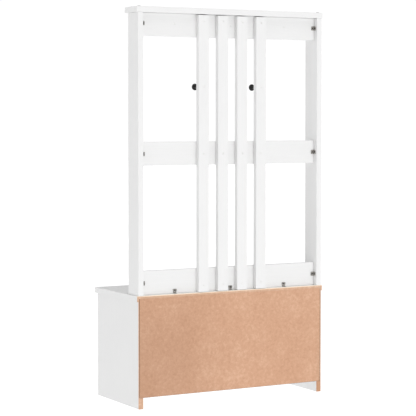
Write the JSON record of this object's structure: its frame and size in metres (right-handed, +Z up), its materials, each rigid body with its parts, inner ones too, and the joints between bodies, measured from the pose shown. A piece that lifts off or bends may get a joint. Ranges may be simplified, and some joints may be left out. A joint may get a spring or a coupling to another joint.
{
  "type": "hall tree with hooks",
  "caption": "White painted hall tree: a two-door shoe cabinet with a bench top, and a slatted frame above it with black peg hooks for coats.",
  "frame": {"origin": "on the floor, at the middle of the footprint", "axes": "+Z up, the front with the doors and hooks faces -Y, left is -X seen from the front"},
  "size_m": [0.9, 0.417, 1.6515],
  "materials": {
    "white_paint": "satin white paint on pine boards",
    "hardboard": "bare brown hardboard, matte",
    "black_metal": "satin black paint on turned metal",
    "zinc": "zinc-plated steel",
    "black_plastic": "moulded black plastic"
  },
  "bodies": {
    "carcass": {"cap_board": "white_paint", "post_left": "white_paint", "post_right": "white_paint", "top_rail": "white_paint", "middle_rail": "white_paint", "bottom_rail": "white_paint", "slat_1": "white_paint", "slat_2": "white_paint", "slat_3": "white_paint", "slat_4": "white_paint", "bench_top": "white_paint", "side_panel_left": "white_paint", "side_panel_right": "white_paint", "bottom_panel": "white_paint", "shelf": "white_paint", "plinth_rail": "white_paint", "front_stretcher": "white_paint", "back_panel": "hardboard", "door_catch": "black_plastic", "hook_1": "black_metal", "hook_2": "black_metal", "hook_3": "black_metal", "hook_4": "black_metal", "hook_5": "black_metal", "rail_bracket_1": "zinc", "rail_bracket_2": "zinc", "rail_bracket_3": "zinc", "rail_bracket_4": "zinc", "rail_bracket_5": "zinc", "rail_bracket_6": "zinc", "bench_bracket_1": "zinc", "bench_bracket_2": "zinc", "bench_bracket_3": "zinc", "cap_bolt_1": "zinc", "cap_bolt_2": "zinc", "cap_bolt_3": "zinc", "cap_bolt_4": "zinc", "hinge_left_lower_frame_leaf": "zinc", "hinge_left_upper_frame_leaf": "zinc", "hinge_right_lower_frame_leaf": "zinc", "hinge_right_upper_frame_leaf": "zinc"},
    "door_left": {"door_left_hinge_stile": "white_paint", "door_left_meeting_stile": "white_paint", "door_left_bottom_rail": "white_paint", "door_left_top_rail": "white_paint", "door_left_panel": "white_paint", "door_left_knob": "black_metal", "door_left_strike": "zinc", "hinge_left_lower_door_leaf": "zinc", "hinge_left_upper_door_leaf": "zinc"},
    "door_right": {"door_right_hinge_stile": "white_paint", "door_right_meeting_stile": "white_paint", "door_right_bottom_rail": "white_paint", "door_right_top_rail": "white_paint", "door_right_panel": "white_paint", "door_right_knob": "black_metal", "door_right_strike": "zinc", "hinge_right_lower_door_leaf": "zinc", "hinge_right_upper_door_leaf": "zinc"}
  },
  "joints": [
    {"name": "door_left_hinge", "type": "hinge", "parent": "carcass", "child": "door_left", "pos_m": [-0.4211, -0.188, 0.24], "axis": [0, 0, -1], "range_deg": [0, 170]},
    {"name": "door_right_hinge", "type": "hinge", "parent": "carcass", "child": "door_right", "pos_m": [0.4211, -0.188, 0.24], "axis": [0, 0, 1], "range_deg": [0, 170]}
  ]
}
